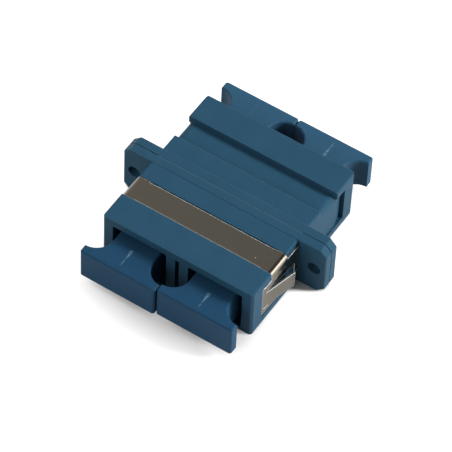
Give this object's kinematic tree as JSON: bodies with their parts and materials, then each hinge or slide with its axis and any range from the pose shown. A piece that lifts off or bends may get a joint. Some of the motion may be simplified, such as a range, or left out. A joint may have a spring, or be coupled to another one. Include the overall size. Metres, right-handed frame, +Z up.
{
  "type": "duplex sc fibre adapter",
  "caption": "Flanged duplex adapter that joins fibre connectors end to end, with a sprung panel clip, latch inserts, split sleeves and a pull-off dust cap in each port",
  "frame": {"origin": "on the resting plane, under the middle of the weld seam between the two housing halves", "axes": "X along the flange, Y along the fibres with the clipped front half at -Y, Z up from the keyway side"},
  "size_m": [0.0348, 0.0385, 0.0093],
  "materials": {
    "housing_plastic": "satin moulded blue",
    "cap_plastic": "satin moulded blue",
    "clip_steel": "rolled spring steel",
    "insert_plastic": "moulded black",
    "sleeve_ceramic": "ground white"
  },
  "bodies": {
    "root": {"housing_front": "housing_plastic", "housing_rear": "housing_plastic", "panel_clip": "clip_steel", "latch_insert_front_left": "insert_plastic", "latch_insert_front_right": "insert_plastic", "latch_insert_rear_left": "insert_plastic", "latch_insert_rear_right": "insert_plastic", "split_sleeve_left": "sleeve_ceramic", "split_sleeve_right": "sleeve_ceramic"},
    "cap_front_left": {"dust_cap_front_left": "cap_plastic"},
    "cap_front_right": {"dust_cap_front_right": "cap_plastic"},
    "cap_rear_left": {"dust_cap_rear_left": "cap_plastic"},
    "cap_rear_right": {"dust_cap_rear_right": "cap_plastic"}
  },
  "joints": [
    {"name": "cap_front_left_pull", "type": "slide", "parent": "root", "child": "cap_front_left", "axis": [0, -1, 0], "range_m": [-0.00035, 0.012]},
    {"name": "cap_front_right_pull", "type": "slide", "parent": "root", "child": "cap_front_right", "axis": [0, -1, 0], "range_m": [0, 0.012]},
    {"name": "cap_rear_left_pull", "type": "slide", "parent": "root", "child": "cap_rear_left", "axis": [0, 1, 0], "range_m": [0, 0.012]},
    {"name": "cap_rear_right_pull", "type": "slide", "parent": "root", "child": "cap_rear_right", "axis": [0, 1, 0], "range_m": [0, 0.012]}
  ]
}
